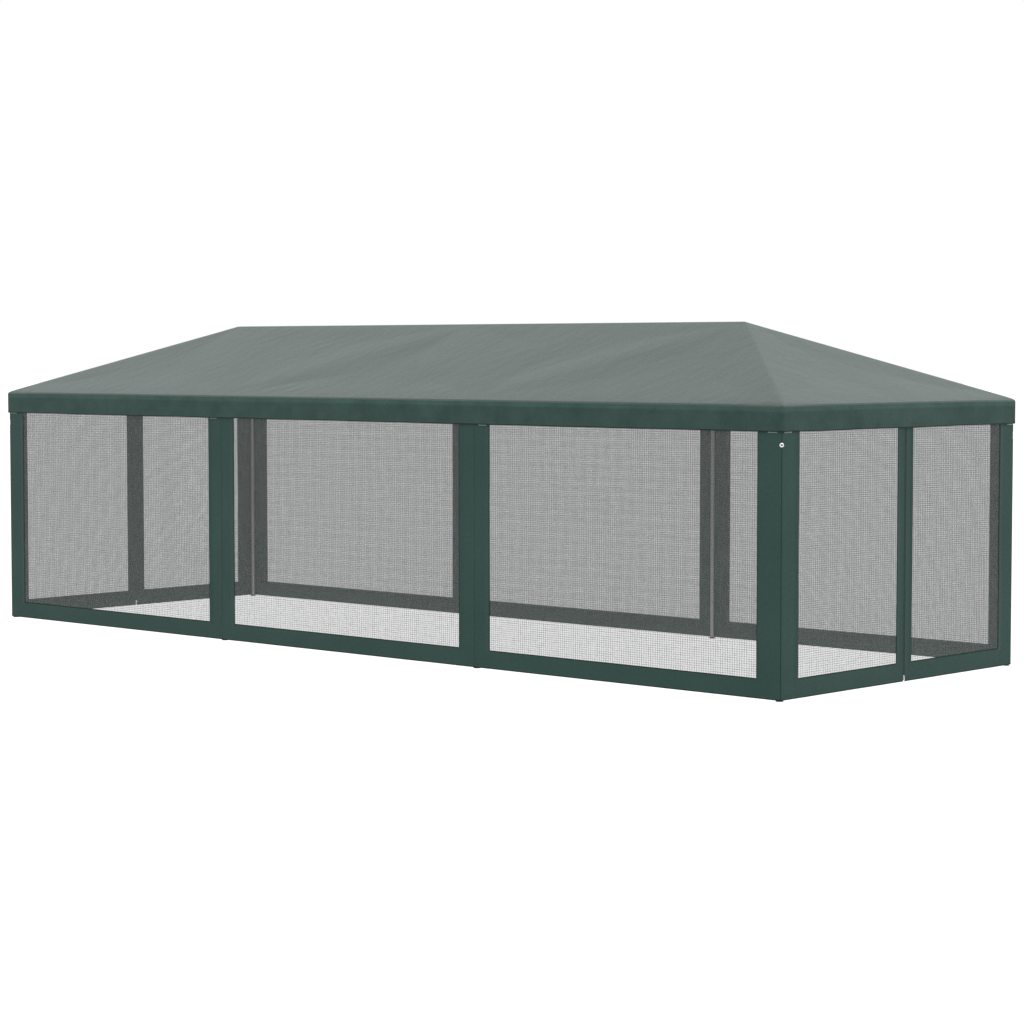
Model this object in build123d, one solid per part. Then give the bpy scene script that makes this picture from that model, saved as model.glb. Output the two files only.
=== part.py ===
from build123d import *
import os

# A screen house: a hip-roofed fabric shelter on a frame of steel tubes, three bays long and one
# bay wide, walled with netting, with a zipped two-leaf door in the middle of each end wall.
#
# Millimetres, +Z up. The origin is on the ground under the middle of the roof. +X runs along the
# length towards the near end and -Y is the front. Left and right on a door are as seen from
# outside, facing that end.

# Overall size
wall_length = 8455.0  # outside faces of the two end walls
wall_width = 2852.0  # outside faces of the two long walls
ridge_top = 2560.0
valance_top = 1983.0  # where the roof turns down into the valance
valance_bottom = 1804.0
valance_out = 12.0  # the valance hangs this far outside the walls
bays = 3

# Fabric
fabric = 1.0
hem_gap = 8.0  # the walls end this far above the ground
wall_top = 1955.0
bottom_band = 137.5
top_band = 125.0
joint_band = 157.0  # beside each joint between two bays
corner_band = 204.0  # on the long walls
end_corner_band = 194.0  # on the end walls
corner_bevel = 14.0  # the wall fabric turns each corner over this

# Doors
zip_offset = 15.0  # each zip stands this far to the right of the middle
zip_band = 87.0
zip_half_gap = 9.0  # the fabric of each leaf stops this far from the middle of the zip
hinge_gap = 1.5
chain_half_gap = 0.6
chain_width = 3.5
chain_thick = 2.6
chain_top = 1830.0  # behind the valance
left_chain_bottom = 16.0
right_chain_bottom = 52.0  # just above the slider, so the right leaf can leave it

# Slider and pull
slider_bottom = 26.0
slider_height = 22.0
slider_half_width = 7.4
slider_shoulder = 0.55  # the share of its height where it starts to taper
slider_taper = 0.75  # the share of its width that is left at its top
slider_plate = 1.4
slider_lip = 1.0
divider_half_width = 0.35
divider_height = 6.0
channel_half = 1.6
lip_half_gap = 0.8
bar_height = 42.0  # the bar that the pull hangs from, above the ground
bar_out = 5.7  # and out from the middle of the fabric
bar_radius = 0.9
cheek_half_gap = 3.1  # the bar is held between two cheeks on the slider
cheek_thick = 1.2
cheek_past_bar = 1.6
cheek_past_eye = 1.0
cheek_root = 0.2  # how deep the cheeks and the bar are rooted
pull_eye_radius = 2.3
pull_eye_clearance = 0.25
pull_neck_half_width = 2.7
pull_neck_length = 6.1
pull_flare = 4.0
pull_length = 39.0
pull_width = 8.0
pull_thick = 1.8
pull_corner = 2.8
pull_slot_half_width = 1.6
pull_slot = (5.0, 17.0)  # from the tip of the pull

# Tubes
leg_radius = 16.0
leg_wall = 1.0
leg_inset = 30.0  # leg and beam axes, in from the outside of the walls
leg_joint = 1000.0  # height of the joint between lower and upper leg tubes
spigot_length = 60.0
tube_radius = 14.0
tube_wall = 0.8

# Connectors
sleeve_wall = 1.6
sleeve_clearance = 0.2
sleeve_length = 92.0
tube_setback = 42.0  # from the middle of a connector to the end of a roof tube
leg_setback = 26.0
hub_radius = 16.2
axis_depth = 16.5  # roof tube axes, square below the roof fabric

# Spring buttons
button_radius = 3.0
button_hole_radius = 3.4
button_setback = 67.0
button_proud = 2.4

# Feet
foot_radius = 27.5
foot_edge = 2.5
foot_flare = 7.0  # height of the flared skirt
foot_floor = 4.0
foot_collar_wall = 2.5
foot_collar_height = 12.0
foot_plug_wall = 2.5
foot_plug_height = 38.0  # the plug stands this high inside the leg

# Trim
eyelet_radius = 15.0
eyelet_hole_radius = 6.5
eyelet_thick = 2.0
eyelet_gap = 0.2
eyelet_height = 1717.0
trim_gap = 0.3  # between the wall fabric and what lies against it
strap_width = 25.0
strap_thick = 1.2
strap_slack = 0.2  # round the tube
strap_pad_drop = 30.0  # the pad that is sewn to the wall, below the beam's axis
strap_pad_height = 12.0
strap_pad_thick = 1.6
straps_per_bay = 3
end_strap_share = 0.72  # how far across the corner band the end walls' straps stand
tab_width = 80.0
tab_setback = 20.0  # from the corner, on a long wall
end_tab_setback = 6.0  # from the corner, on an end wall
joint_tab_setback = 50.0  # from the joint between two bays
tab_thick = 1.2
tab_bottom = 1794.0
tab_top = 1860.0

# What follows from them
half_length = wall_length / 2
half_width = wall_width / 2
roof_half_length = half_length + valance_out
roof_half_width = half_width + valance_out
bay_joint = wall_length / bays / 2
leg_x = half_length - leg_inset
leg_y = half_width - leg_inset
peak_x = (leg_x + bay_joint) / 2
roof_pitch = (ridge_top - valance_top) / roof_half_width
axis_drop = fabric + axis_depth * (1 + roof_pitch**2) ** 0.5
eave_z = valance_top + (valance_out + leg_inset) * roof_pitch - axis_drop
peak_z = ridge_top - axis_drop
hinge_y = half_width - end_corner_band
wall_middle_x = half_length - fabric / 2

DOWN = Vector(0, 0, -1)
ALONG = {"near": Rot(), "far": Rot(0, 0, 180)}


def save(name, solids):
    """Writes one node, a single solid or a group of them."""
    solids = list(solids) if isinstance(solids, (list, tuple)) else [solids]
    shape = solids[0] if len(solids) == 1 else Compound(children=solids)
    export_step(shape, f"parts/{name}.step")


def block(x, y, z):
    """A box between two values on each axis."""
    size = [abs(high - low) for low, high in (x, y, z)]
    middle = [(low + high) / 2 for low, high in (x, y, z)]
    return Pos(*middle) * Box(*size)


def rod(start, end, radius):
    """A solid round bar between two points."""
    start, end = Vector(start), Vector(end)
    lie = Plane(origin=start, z_dir=end - start)
    stand = (Align.CENTER, Align.CENTER, Align.MIN)
    return lie * Cylinder(radius, (end - start).length, align=stand)


def along(start, end, distance):
    """The point that far from start towards end."""
    return Vector(start) + (Vector(end) - Vector(start)).normalized() * distance


def button_side(start, end):
    """Which way a spring button points out of a roof tube: square to it, and down."""
    run = (Vector(end) - Vector(start)).normalized()
    return (DOWN - run * DOWN.dot(run)).normalized()


def drill(spot, way):
    """The hole for a spring button, from a tube's axis out through its wall."""
    return rod(spot, Vector(spot) + Vector(way) * (2 * leg_radius), button_hole_radius)


def button(spot, way, outside):
    """A spring button: a round pin with a domed end, standing proud of the outer wall."""
    spot, way = Vector(spot), Vector(way)
    neck = spot + way * (outside + button_proud - button_radius)
    pin = rod(spot + way * (outside - 3 * button_radius), neck, button_radius)
    return pin + Pos(*neck) * Sphere(button_radius)


def roof_tube(start, end):
    """A tube between two connectors, drilled for a button at both ends."""
    near, far = along(start, end, tube_setback), along(end, start, tube_setback)
    tube = rod(near, far, tube_radius) - rod(near, far, tube_radius - tube_wall)
    way = button_side(start, end)
    for spot in (along(start, end, button_setback), along(end, start, button_setback)):
        tube -= drill(spot, way)
    return tube


def leg_side(y):
    """Which way the buttons on a leg point: into the shelter."""
    return Vector(0, -1 if y > 0 else 1, 0)


def connector(node, ends, on_leg):
    """A welded connector: a hub, and an open sleeve towards each tube that it holds."""
    outer = tube_radius + sleeve_clearance + sleeve_wall
    body = Pos(*node) * Sphere(hub_radius)
    for end in ends:
        body += rod(node, along(node, end, sleeve_length), outer)
    if on_leg:
        foot = node + DOWN * sleeve_length
        body += rod(node, foot, leg_radius + sleeve_clearance + sleeve_wall)
        body -= rod(node + DOWN * leg_setback, foot, leg_radius + sleeve_clearance)
        body -= drill(node + DOWN * button_setback, leg_side(node.Y))
    for end in ends:
        mouth = along(node, end, sleeve_length + tube_setback)
        body -= rod(along(node, end, tube_setback), mouth, tube_radius + sleeve_clearance)
        body -= drill(along(node, end, button_setback), button_side(node, end))
    return body


def spun(outline):
    """A solid turned about Z from an outline of radius and height."""
    edge = Polyline([(radius, 0, height) for radius, height in outline], close=True)
    return revolve(make_face(edge), Axis.Z)


def leg(x, y):
    """The lower and upper tubes of one leg; the upper one's swaged end stands in the lower."""
    bore = leg_radius - leg_wall
    spigot = bore - sleeve_clearance
    spigot_bottom = leg_joint - spigot_length
    top = eave_z - leg_setback
    lower = spun(
        [(bore, foot_floor), (leg_radius, foot_floor), (leg_radius, leg_joint), (bore, leg_joint)]
    )
    upper = spun(
        [
            (spigot - leg_wall, spigot_bottom),
            (spigot, spigot_bottom),
            (spigot, leg_joint),
            (leg_radius, leg_joint),
            (leg_radius, top),
            (bore, top),
            (bore, leg_joint + 3 * leg_wall),
            (spigot - leg_wall, leg_joint + 3 * leg_wall),
        ]
    )
    joint_hole = drill((0, 0, leg_joint - spigot_length / 2), leg_side(y))
    top_hole = drill((0, 0, eave_z - button_setback), leg_side(y))
    return [Pos(x, y, 0) * (lower - joint_hole), Pos(x, y, 0) * (upper - joint_hole - top_hole)]


def foot(x, y):
    """A flat plastic foot: a low collar round the bottom of the leg, and a hollow plug inside it."""
    socket = leg_radius + sleeve_clearance
    collar = socket + foot_collar_wall
    plug = leg_radius - leg_wall - sleeve_clearance
    shape = spun(
        [
            (0, 0),
            (foot_radius, 0),
            (foot_radius, foot_edge),
            (collar, foot_flare),
            (collar, foot_collar_height),
            (socket, foot_collar_height),
            (socket, foot_floor),
            (plug, foot_floor),
            (plug, foot_plug_height),
            (plug - foot_plug_wall, foot_plug_height),
            (plug - foot_plug_wall, foot_floor),
            (0, foot_floor),
        ]
    )
    return Pos(x, y, 0) * shape


def roof_panel(points):
    """A flat slope of the roof, as thick as the fabric measured straight down."""
    return extrude(Face(Wire.make_polygon([Vector(*p) for p in points])), fabric, dir=DOWN)


def canopy():
    """The roof's four slopes and the valance that hangs from their edges."""
    x, y, low, high = roof_half_length, roof_half_width, valance_top, ridge_top
    long_slope = roof_panel([(-x, -y, low), (x, -y, low), (peak_x, 0, high), (-peak_x, 0, high)])
    end_slope = roof_panel([(x, -y, low), (x, y, low), (peak_x, 0, high)])
    drop = (valance_bottom, valance_top - fabric)
    long_valance = block((-x, x), (-y, fabric - y), drop)
    end_valance = block((x - fabric, x), (fabric - y, y - fabric), drop)
    half = [long_slope, end_slope, long_valance, end_valance]
    return half + [Rot(0, 0, 180) * piece for piece in half]


def long_wall(low, high, low_band, high_band):
    """One bay of the front wall between two heights of X: its four bands, and its netting."""
    y = (-half_width, fabric - half_width)
    inside = (low + low_band, high - high_band)
    net = (hem_gap + bottom_band, wall_top - top_band)
    bands = [
        block((low, inside[0]), y, (hem_gap, wall_top)),
        block((inside[1], high), y, (hem_gap, wall_top)),
        block(inside, y, (hem_gap, net[0])),
        block(inside, y, (net[1], wall_top)),
    ]
    return bands, block(inside, y, net)


def eyelet_place():
    """Where the near front corner's eyelet sits on the fabric, and the way that it faces."""
    middle = corner_bevel / 2
    return Vector(half_length - middle, middle - half_width, eyelet_height), Vector(1, -1, 0).normalized()


def corner_turn():
    """The near front corner's fabric: the bevel round the leg, and the band on the end wall."""
    x, y = half_length, -half_width
    bevel = [
        (x - corner_bevel, y),
        (x, y + corner_bevel),
        (x - fabric, y + corner_bevel),
        (x - corner_bevel, y + fabric),
    ]
    face = make_face(Polyline(bevel, close=True))
    turn = Pos(0, 0, hem_gap) * extrude(face, wall_top - hem_gap)
    spot, out = eyelet_place()
    turn -= rod(spot - out * corner_bevel, spot + out * corner_bevel, eyelet_hole_radius)
    band = block((x - fabric, x), (y + corner_bevel, -hinge_y), (hem_gap, wall_top))
    return [turn, band]


def eyelet():
    """The metal ring on the near front corner, facing out along the diagonal."""
    spot, out = eyelet_place()
    back, front = spot + out * eyelet_gap, spot + out * (eyelet_gap + eyelet_thick)
    return rod(back, front, eyelet_radius) - rod(back, front, eyelet_hole_radius)


def strap_loop():
    """A strap's loop round a beam along X at the origin, ending on the wall at -Y."""
    wall = leg_inset - fabric - trim_gap
    round_tube = Circle(tube_radius + strap_thick + strap_slack)
    pad = Rectangle(strap_pad_thick, strap_pad_height)
    on_wall = Pos(strap_pad_thick / 2 - wall, -strap_pad_drop) * pad
    outside = make_hull(round_tube.edges() + on_wall.edges())
    inside = offset(outside, -strap_thick)
    return extrude(Plane.YZ * (outside - inside), strap_width / 2, both=True)


def near_front_tabs():
    """The hook-and-loop tabs tucked behind the valance, on a quarter of the walls."""
    height = (tab_bottom, tab_top)
    y = (-half_width - trim_gap - tab_thick, -half_width - trim_gap)
    corner_start = half_length - corner_bevel - tab_setback - tab_width
    starts = (corner_start, bay_joint + joint_tab_setback)
    tabs = [block((start, start + tab_width), y, height) for start in starts]
    start = -half_width + corner_bevel + end_tab_setback
    x = (half_length + trim_gap, half_length + trim_gap + tab_thick)
    return tabs + [block(x, (start, start + tab_width), height)]


def door_leaf(hinge, zip_side):
    """One door leaf of the near end, between the hinge line and its edge beside the zip."""
    x = (half_length - fabric, half_length)
    side = 1 if zip_side > hinge else -1
    start, net_end = hinge + side * hinge_gap, zip_side - side * zip_band
    net = (hem_gap + bottom_band, wall_top - top_band)
    bands = [
        block(x, sorted((net_end, zip_side)), (hem_gap, wall_top)),
        block(x, sorted((start, net_end)), (hem_gap, net[0])),
        block(x, sorted((start, net_end)), (net[1], wall_top)),
    ]
    return bands, block(x, sorted((start, net_end)), net)


def zip_half(side, bottom):
    """Half of the near end's zip: the bead of coils, and the tape that joins it to a leaf."""
    bead_edge = chain_half_gap + chain_width
    coil = (zip_offset + side * chain_half_gap, zip_offset + side * bead_edge)
    tape = (zip_offset + side * bead_edge, zip_offset + side * zip_half_gap)
    height = (bottom, chain_top)
    thick = (wall_middle_x - chain_thick / 2, wall_middle_x + chain_thick / 2)
    thin = (half_length - fabric, half_length)
    return block(thick, sorted(coil), height) + block(thin, sorted(tape), height)


def slider():
    """The near end's zip slider: two plates joined by a divider, and the bar for the pull."""
    top = slider_bottom + slider_height
    shoulder = slider_bottom + slider_height * slider_shoulder
    crown = slider_half_width * slider_taper
    outer = channel_half + slider_plate
    plan = [
        (-slider_half_width, slider_bottom),
        (slider_half_width, slider_bottom),
        (slider_half_width, shoulder),
        (crown, top),
        (-crown, top),
        (-slider_half_width, shoulder),
    ]
    through = (0, 2 * top)
    inside = slider_half_width - slider_lip
    across = (-2 * slider_half_width, 2 * slider_half_width)
    body = extrude(Plane.YZ * make_face(Polyline(plan, close=True)), outer, both=True)
    body -= block((-channel_half, channel_half), (-inside, inside), through)
    body -= block((-lip_half_gap, lip_half_gap), across, through)
    divider = (-divider_half_width, divider_half_width)
    divider_top = slider_bottom + divider_height
    body += block((-channel_half, channel_half), divider, (slider_bottom, divider_top))
    cheek_out = (outer - cheek_root, bar_out + cheek_past_bar)
    cheek_reach = pull_eye_radius + cheek_past_eye
    cheek_height = (bar_height - cheek_reach, bar_height + cheek_reach)
    for side in (-1, 1):
        y = sorted((side * cheek_half_gap, side * (cheek_half_gap + cheek_thick)))
        body += block(cheek_out, y, cheek_height)
    bar_end = cheek_half_gap + cheek_root
    body += rod((bar_out, -bar_end, bar_height), (bar_out, bar_end, bar_height), bar_radius)
    return Pos(wall_middle_x, zip_offset, 0) * body


def pull():
    """The near end's pull: an eye round the slider's bar, and a tapered tab with a slot."""
    tip = bar_height - pull_length
    neck, edge = pull_neck_half_width, pull_width / 2
    neck_end = bar_height - pull_neck_length
    plan = [
        (-neck, bar_height),
        (neck, bar_height),
        (neck, neck_end),
        (edge, neck_end - pull_flare),
        (edge, tip),
        (-edge, tip),
        (-edge, neck_end - pull_flare),
        (-neck, neck_end),
    ]
    eye = rod((bar_out, -neck, bar_height), (bar_out, neck, bar_height), pull_eye_radius)
    tab = extrude(Plane.YZ * make_face(Polyline(plan, close=True)), pull_thick / 2, both=True)
    lower_edges = tab.edges().filter_by(Axis.X).sort_by(Axis.Z)[:2]
    tab = Pos(bar_out, 0, 0) * fillet(lower_edges, pull_corner)
    slot_width = (-pull_slot_half_width, pull_slot_half_width)
    slot_height = [tip + height for height in pull_slot]
    slot = block((0, 2 * bar_out), slot_width, slot_height)
    bore_radius = bar_radius + pull_eye_clearance
    bore = rod((bar_out, -pull_width, bar_height), (bar_out, pull_width, bar_height), bore_radius)
    return Pos(wall_middle_x, zip_offset, 0) * (eye + tab - slot - bore)


def quarter_turns(solids):
    """The same solids at all four corners, mirrored from the near front one."""
    back = [mirror(piece, Plane.XZ) for piece in solids]
    return solids + back + [mirror(piece, Plane.YZ) for piece in solids + back]


os.makedirs("parts", exist_ok=True)

# Frame
corner_nodes = {}
side_nodes = {}
for end, sx in (("near", 1), ("far", -1)):
    for row, sy in (("front", -1), ("back", 1)):
        corner_nodes[end, row] = Vector(sx * leg_x, sy * leg_y, eave_z)
        side_nodes[end, row] = Vector(sx * bay_joint, sy * leg_y, eave_z)
peak_nodes = {
    "near": Vector(peak_x, 0, peak_z),
    "middle": Vector(0, 0, peak_z),
    "far": Vector(-peak_x, 0, peak_z),
}
buttons = []

for (end, row), node in corner_nodes.items():
    other_row = "back" if row == "front" else "front"
    ends = [side_nodes[end, row], corner_nodes[end, other_row], peak_nodes[end]]
    save(f"corner_connector_{end}_{row}", connector(node, ends, on_leg=True))
    save(f"corner_leg_{end}_{row}", leg(node.X, node.Y))

for (end, row), node in side_nodes.items():
    other_end = "far" if end == "near" else "near"
    ends = [corner_nodes[end, row], side_nodes[other_end, row], peak_nodes[end], peak_nodes["middle"]]
    save(f"side_connector_{end}_{row}", connector(node, ends, on_leg=True))
    save(f"side_leg_{end}_{row}", leg(node.X, node.Y))

leg_nodes = list(corner_nodes.values()) + list(side_nodes.values())
save("feet", [foot(node.X, node.Y) for node in leg_nodes])
for node in leg_nodes:
    way = leg_side(node.Y)
    sleeve = leg_radius + sleeve_clearance + sleeve_wall
    buttons.append(button(node + DOWN * button_setback, way, sleeve))
    buttons.append(button((node.X, node.Y, leg_joint - spigot_length / 2), way, leg_radius))

tubes = {}
for row in ("front", "back"):
    tubes[f"eave_beam_near_{row}"] = [(corner_nodes["near", row], side_nodes["near", row])]
    tubes[f"eave_beam_middle_{row}"] = [(side_nodes["near", row], side_nodes["far", row])]
    tubes[f"eave_beam_far_{row}"] = [(corner_nodes["far", row], side_nodes["far", row])]
for end in ("near", "far"):
    tubes[f"eave_beam_{end}_end"] = [(corner_nodes[end, "front"], corner_nodes[end, "back"])]
    posts = [corner_nodes[end, "front"], corner_nodes[end, "back"]]
    posts += [side_nodes[end, "front"], side_nodes[end, "back"]]
    tubes[f"rafters_{end}"] = [(post, peak_nodes[end]) for post in posts]
tubes["rafters_middle"] = [(post, peak_nodes["middle"]) for post in side_nodes.values()]
tubes["ridge_tubes"] = [(peak_nodes["middle"], peak_nodes[end]) for end in ("near", "far")]

for name, spans in tubes.items():
    save(name, [roof_tube(start, end) for start, end in spans])
    for start, end in spans:
        for here, there in ((start, end), (end, start)):
            spot = along(here, there, button_setback)
            sleeve = tube_radius + sleeve_clearance + sleeve_wall
            buttons.append(button(spot, button_side(start, end), sleeve))
save("spring_buttons", buttons)

for place, node in peak_nodes.items():
    if place == "middle":
        ends = list(side_nodes.values()) + [peak_nodes["near"], peak_nodes["far"]]
    else:
        ends = [corner_nodes[place, "front"], corner_nodes[place, "back"]]
        ends += [side_nodes[place, "front"], side_nodes[place, "back"], peak_nodes["middle"]]
    save(f"peak_connector_{place}", connector(node, ends, on_leg=False))

# Roof and fixed walls
save("canopy", canopy())

corner_end = half_length - corner_bevel
corner_bands, corner_net = long_wall(
    bay_joint, corner_end, joint_band, corner_band - corner_bevel
)
corner_bands += corner_turn()
middle_bands, middle_net = long_wall(-bay_joint, bay_joint, joint_band, joint_band)
back_middle = [mirror(piece, Plane.XZ) for piece in middle_bands]
save("wall_border_front_near", corner_bands)
save("wall_border_front_middle", middle_bands)
save("wall_border_front_far", [mirror(piece, Plane.YZ) for piece in corner_bands])
save("wall_border_back_near", [mirror(piece, Plane.XZ) for piece in corner_bands])
save("wall_border_back_middle", back_middle)
save("wall_border_back_far", [Rot(0, 0, 180) * piece for piece in corner_bands])

front_nets = [corner_net, middle_net, mirror(corner_net, Plane.YZ)]
save("wall_netting_front", front_nets)
save("wall_netting_back", [mirror(piece, Plane.XZ) for piece in front_nets])

save("eyelets", quarter_turns([eyelet()]))

bay_starts = (-half_length, -bay_joint, bay_joint)
loops = []
for start in bay_starts:
    for turn in range(straps_per_bay):
        x = start + wall_length / bays * (turn + 0.5) / straps_per_bay
        loops.append(Pos(x, -leg_y, eave_z) * strap_loop())
loops += [mirror(loop, Plane.XZ) for loop in loops]
end_loop = Pos(leg_x, 0, eave_z) * Rot(0, 0, 90) * strap_loop()
end_loop_y = half_width - end_corner_band * end_strap_share
for turn in ALONG.values():
    loops += [turn * Pos(0, side * end_loop_y, 0) * end_loop for side in (-1, 1)]
save("hook_and_loop_straps", loops + quarter_turns(near_front_tabs()))

# Doors
leaves = {
    "left": (door_leaf(-hinge_y, zip_offset - zip_half_gap), zip_half(-1, left_chain_bottom)),
    "right": (door_leaf(hinge_y, zip_offset + zip_half_gap), zip_half(1, right_chain_bottom)),
}
for end, turn in ALONG.items():
    for side, ((bands, net), chain) in leaves.items():
        save(f"door_border_{end}_{side}", [turn * band for band in bands])
        save(f"door_netting_{end}_{side}", turn * net)
        save(f"zip_half_{end}_{side}", turn * chain)
    save(f"zip_slider_{end}", turn * slider())
    save(f"zip_pull_{end}", turn * pull())
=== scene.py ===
import math

import bpy
import numpy as np
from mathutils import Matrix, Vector


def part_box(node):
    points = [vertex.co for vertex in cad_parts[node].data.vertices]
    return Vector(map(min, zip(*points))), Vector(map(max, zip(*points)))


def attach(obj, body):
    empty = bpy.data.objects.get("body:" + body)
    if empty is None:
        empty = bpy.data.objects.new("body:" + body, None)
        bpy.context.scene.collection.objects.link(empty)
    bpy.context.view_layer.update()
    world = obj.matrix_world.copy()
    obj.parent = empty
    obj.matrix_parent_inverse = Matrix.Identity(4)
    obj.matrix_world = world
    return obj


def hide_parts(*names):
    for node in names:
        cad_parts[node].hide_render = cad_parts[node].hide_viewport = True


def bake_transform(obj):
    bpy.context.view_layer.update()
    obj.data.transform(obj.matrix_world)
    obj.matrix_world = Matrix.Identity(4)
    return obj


# The looks of a screen house: one roof cloth with its valance, netting walls with sewn borders,
# two-leaf zipped doors, hook-and-loop trim and corner grommets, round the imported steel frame.
# Metres, +Z up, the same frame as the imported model.

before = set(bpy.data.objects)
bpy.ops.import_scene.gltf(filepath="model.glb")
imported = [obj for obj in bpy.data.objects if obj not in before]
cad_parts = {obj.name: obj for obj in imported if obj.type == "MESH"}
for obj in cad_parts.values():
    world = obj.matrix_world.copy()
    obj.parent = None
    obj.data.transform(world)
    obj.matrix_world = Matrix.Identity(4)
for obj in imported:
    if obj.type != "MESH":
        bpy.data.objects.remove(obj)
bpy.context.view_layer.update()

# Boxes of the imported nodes
canopy_low, canopy_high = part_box("canopy")
border_low, border_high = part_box("wall_border_front_near")
net_low, net_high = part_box("wall_netting_front")
leg_low, leg_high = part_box("corner_leg_near_front")
beam_low, beam_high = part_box("eave_beam_middle_front")
left_chain_low, left_chain_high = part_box("zip_half_near_left")
right_chain_low, right_chain_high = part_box("zip_half_near_right")
strap_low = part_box("hook_and_loop_straps")[0]
eyelet_low, eyelet_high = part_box("eyelets")

# Sizes that they give
ROOF_X = canopy_high.x
ROOF_Y = canopy_high.y
RIDGE_Z = canopy_high.z
VALANCE_BOTTOM = canopy_low.z
WALL_X = border_high.x
WALL_Y = -border_low.y
HEM_Z = border_low.z
WALL_TOP = border_high.z
JOINT_X = border_low.x
NET_BOTTOM = net_low.z
NET_TOP = net_high.z
CORNER_NET_X = net_high.x
HINGE_Y = -border_high.y
LEG_X = (leg_low.x + leg_high.x) / 2
LEG_Y = -(leg_low.y + leg_high.y) / 2
PEAK_X = (LEG_X + JOINT_X) / 2
EAVE_Z = (beam_low.z + beam_high.z) / 2
BEAM_RADIUS = (beam_high.z - beam_low.z) / 2
CHAIN_BOTTOM = {"left": left_chain_low.z, "right": right_chain_low.z}
CHAIN_TOP = left_chain_high.z
ZIP_Y = (left_chain_low.y + right_chain_high.y) / 2
EYELET_Z = (eyelet_low.z + eyelet_high.z) / 2
TAB_BOTTOM = strap_low.z + 0.003

# Roof
VALANCE_DEPTH = 0.179
VALANCE_TOP = VALANCE_BOTTOM + VALANCE_DEPTH
LONG_PITCH = (RIDGE_Z - VALANCE_TOP) / ROOF_Y
END_PITCH = (RIDGE_Z - VALANCE_TOP) / (ROOF_X - PEAK_X)
SHOULDER_RADIUS = 0.015  # where the roof turns down into the valance
RIM_ROUND = 0.010  # at the roof's corners, seen from above
RIM_MARKS = (0, 0.0012, 0.0026, RIM_ROUND, 0.02)  # extra grid lines, in from the rim
RIDGE_MARKS = (0.024, 0.01, 0)  # and out from the ridge
HIP_SOFTNESS = 0.001
RIDGE_SOFTNESS = 0.003
ON_HIP = 0.0001
ON_RIM = 1e-6
ROOF_STEP = 0.03
SAG = 0.010
SAG_REACH = 0.26
SLACK_FADE = 0.05  # from the tight rim in
WRINKLE = 0.0006
WRINKLE_LENGTH = 0.16
WRINKLE_ANGLE = math.radians(52)
WRINKLE_SPREAD = 0.16
GATHER = 0.0007  # small folds that fan out from each corner and peak
GATHER_FOLDS = 26
GATHER_REACH = 0.42
CORNER_DIP = 0.007
CORNER_DIP_REACH = 0.35
CORNER_DIP_FADE = 0.035
LIT_STRIP_DEPTH = 0.028  # painted highlight: the paler strip at the top of the valance, just under the roof's shoulder
VALANCE_SWAY = 0.0022
VALANCE_FLUTTER = 0.0002
VALANCE_BELLY = 0.0008
HEM_WANDER = 0.0014

# Cloth
CLOTH_THICK = 0.001
HEM_WIDTH = 0.0205
STITCH_IN = 0.015
STITCH_LENGTH = 0.0045
HEM_PROFILE = (  # how far a folded hem stands out at each distance from its edge
    (0, 0.0003), (0.001, 0.0009), (0.0135, 0.0008), (STITCH_IN, 0.0002),
    (0.0165, 0.0008), (0.019, 0.0008), (HEM_WIDTH, 0),
)
JOINT_BAND = 0.157
SEAM_IN = 0.0055
SEAM_FIRMNESS = 0.35
BAND_STEP = 0.045
WALL_SWAY = 0.0011
WALL_RIPPLE = 0.0005
WALL_SEED = 41
TIED_HEIGHT = 0.1  # the straps hold the walls still at their tops
MIDDLE_SOFTNESS = 0.3

# Netting
NET_TUCK = 0.010
NET_STEP = 0.04
NET_BEHIND = 0.0004
NET_SLACK = 0.002
NET_WAVE = 0.0022
NET_RIPPLE = 0.0008
NET_PITCH = 0.0021
NET_HEAVY_ACROSS = 0.0205
NET_HEAVY_UP = 0.0155
NET_HOLE = 0.23
NET_YARN = 0.78
NET_SLUB = 0.42

# Corners of the walls, placed by the distance along the near front ones
CORNER_ROUND = 0.024
CORNER_START = WALL_X - CORNER_ROUND
CORNER_TURN = CORNER_ROUND * math.pi / 2
CORNER_END = CORNER_START + CORNER_TURN
CORNER_MIDDLE = CORNER_START + CORNER_TURN / 2
CORNER_SOFTNESS = 0.06
CORNER_SHARPNESS = 0.6
GROMMET_HOLE = 0.0070
GROMMET_GRID = 0.05  # the cloth's grid is fine this far from one
PRESSED_HEIGHT = 0.021
PRESSED_TURN = 0.6

# Doors
ZIP_BAND = 0.087
ZIP_GAP = 0.009
FOLD_WIDTH = 0.024  # the leaf's grid is finer over this width at its hinge
COIL_PITCH = 0.0026
COIL_INSET = 0.001
TAPE_THICK = 0.0008

# Straps and tabs
STRAP_WIDTH = 0.025
STRAP_THICK = 0.0012
STRAP_GAP = 0.0006
END_STRAP_SHARE = 0.72
TAB_WIDTH = 0.080
TAB_THICK = 0.0012
TAB_CURL = (  # how far a tab stands out at each height
    (0, 0.0030), (0.002, 0.0024), (0.006, 0.0014), (0.02, 0.0006), (0.04, 0.0004), (0.066, 0.0003),
)
CORNER_TAB = 0.114
END_TAB = 0.100
JOINT_TAB = 0.050

# ---------------------------------------------------------------- shapes


def lines(step, *marks):
    """Values from the lowest mark to the highest, through every mark, at most step apart."""
    marks = sorted({round(float(mark), 6) for mark in marks})
    values = [marks[0]]
    for low, high in zip(marks, marks[1:]):
        count = max(1, math.ceil((high - low) / step - 1e-6))
        values += list(np.linspace(low, high, count + 1)[1:])
    return np.array(values)


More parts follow.
